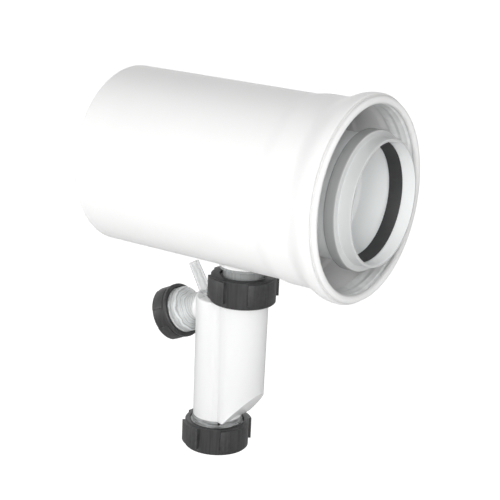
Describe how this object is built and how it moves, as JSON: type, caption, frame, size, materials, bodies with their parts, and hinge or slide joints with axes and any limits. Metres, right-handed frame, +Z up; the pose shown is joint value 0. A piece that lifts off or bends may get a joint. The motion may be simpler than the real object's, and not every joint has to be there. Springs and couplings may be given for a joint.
{
  "type": "concentric condensate drain",
  "caption": "Concentric flue section with a condensate drain: a plastic flue pipe in a white steel pipe, and a clear siphon trap below with a slip nut, a cleaning cap and a side outlet.",
  "frame": {"origin": "where the flue's axis crosses the drain's axis", "axes": "+X along the flue, out of its socket; +Z up, so the trap hangs along -Z"},
  "size_m": [0.2068, 0.139, 0.2706],
  "materials": {
    "painted_steel": "smooth white powder coat",
    "grey_plastic": "satin light grey polypropylene",
    "clear_plastic": "milky, translucent polypropylene",
    "black_rubber": "black sealing rubber",
    "pale_rubber": "pale grey sealing rubber",
    "black_plastic": "satin black moulding",
    "white_plastic": "plain white moulding"
  },
  "bodies": {
    "flue": {"outer_pipe": "painted_steel", "outer_seal": "pale_rubber", "inner_pipe": "grey_plastic", "inner_seal": "black_rubber", "front_spacer": "white_plastic", "rear_spacer": "white_plastic", "drain_spigot": "grey_plastic", "spigot_o_ring": "black_rubber", "neck_grommet": "pale_rubber"},
    "trap": {"trap_body": "clear_plastic", "inlet_cone_ring": "black_rubber"},
    "inlet_ring": {"inlet_slip_ring": "white_plastic"},
    "inlet_nut_body": {"inlet_nut": "black_plastic"},
    "cap_seal": {"cap_gasket": "black_rubber"},
    "cap_body": {"cleaning_cap": "black_plastic"},
    "outlet_rings": {"outlet_slip_ring": "white_plastic", "outlet_seal_ring": "black_rubber"},
    "outlet_nut_body": {"outlet_nut": "black_plastic"}
  },
  "joints": [
    {"name": "trap_swivel", "type": "hinge", "parent": "flue", "child": "trap", "pos_m": [0, 0, -0.08], "axis": [0, 0, 1], "continuous": true},
    {"name": "inlet_nut_rise", "type": "slide", "parent": "trap", "child": "inlet_ring", "axis": [0, 0, 1], "range_m": [0, 0.0035]},
    {"name": "inlet_nut_turn", "type": "hinge", "parent": "inlet_ring", "child": "inlet_nut_body", "pos_m": [0, 0, -0.0887], "axis": [0, 0, 1], "range_deg": [0, 540]},
    {"name": "cap_drop", "type": "slide", "parent": "trap", "child": "cap_seal", "axis": [0, 0, -1], "range_m": [0, 0.0047]},
    {"name": "cap_turn", "type": "hinge", "parent": "cap_seal", "child": "cap_body", "pos_m": [-0.018, 0, -0.1816], "axis": [0, 0, -1], "range_deg": [0, 720]},
    {"name": "outlet_nut_back_off", "type": "slide", "parent": "trap", "child": "outlet_rings", "axis": [-0.9063, 0, -0.4226], "range_m": [0, 0.0047]},
    {"name": "outlet_nut_turn", "type": "hinge", "parent": "outlet_rings", "child": "outlet_nut_body", "pos_m": [-0.05075, 0, -0.107], "axis": [-0.9063, 0, -0.4226], "range_deg": [0, 720]}
  ],
  "couplings": [
    {"joint": "inlet_nut_rise", "follows": "inlet_nut_turn", "m_per_rad": 0.00036749},
    {"joint": "cap_drop", "follows": "cap_turn", "m_per_rad": 0.00036749},
    {"joint": "outlet_nut_back_off", "follows": "outlet_nut_turn", "m_per_rad": 0.00036749}
  ]
}
